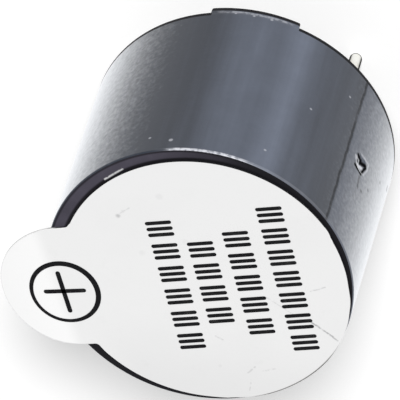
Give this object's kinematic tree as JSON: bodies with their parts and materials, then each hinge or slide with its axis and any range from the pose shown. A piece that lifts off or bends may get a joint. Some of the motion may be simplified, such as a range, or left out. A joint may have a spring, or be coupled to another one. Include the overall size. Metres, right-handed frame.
{
  "type": "magnetic buzzer",
  "caption": "Sealed round magnetic buzzer for a circuit board: moulded case, peel-off front seal with a pull tab, coil, magnet and diaphragm inside, and solder pins below.",
  "frame": {"origin": "centre of the case on the seating plane, where the stand-offs touch the circuit board, midway between the pins", "axes": "+Z from the seating plane to the seal label, with the pins along -Z; +X towards the positive pin and the pull tab"},
  "size_m": [0.014, 0.012, 0.0137],
  "materials": {
    "case_plastic": "black-grey moulded plastic with a soft sheen",
    "seal_film": "white adhesive film with dark print",
    "diaphragm_metal": "rolled nickel-iron foil",
    "soft_iron": "turned iron, satin",
    "ring_metal": "turned, satin",
    "ferrite": "sintered, dull",
    "plated_steel": "punched sheet, zinc plated",
    "enamelled_copper": "enamelled copper wire",
    "board_laminate": "green solder mask on laminate",
    "copper_foil": "etched copper foil",
    "chip_plastic": "moulded, dull",
    "tinned_metal": "tin plated, softly bright",
    "resistor_ceramic": "white alumina",
    "solder": "tin solder, bright",
    "potting": "black potting resin, glossy"
  },
  "bodies": {
    "root": {"case": "case_plastic", "seal_label": "seal_film", "diaphragm": "diaphragm_metal", "armature_disc": "soft_iron", "support_ring": "ring_metal", "ring_magnet": "ferrite", "pole_core": "soft_iron", "yoke_plate": "plated_steel", "coil_winding": "enamelled_copper", "coil_lead_start": "enamelled_copper", "coil_lead_end": "enamelled_copper", "coil_lead_sense": "enamelled_copper", "circuit_board": "board_laminate", "copper_tracks": "copper_foil", "driver_transistor": "chip_plastic", "transistor_leads": "tinned_metal", "base_resistor": "resistor_ceramic", "resistor_caps": "tinned_metal", "positive_pin": "tinned_metal", "negative_pin": "tinned_metal", "positive_solder": "solder", "negative_solder": "solder", "lead_solder": "solder", "epoxy_seal": "potting"}
  },
  "joints": []
}
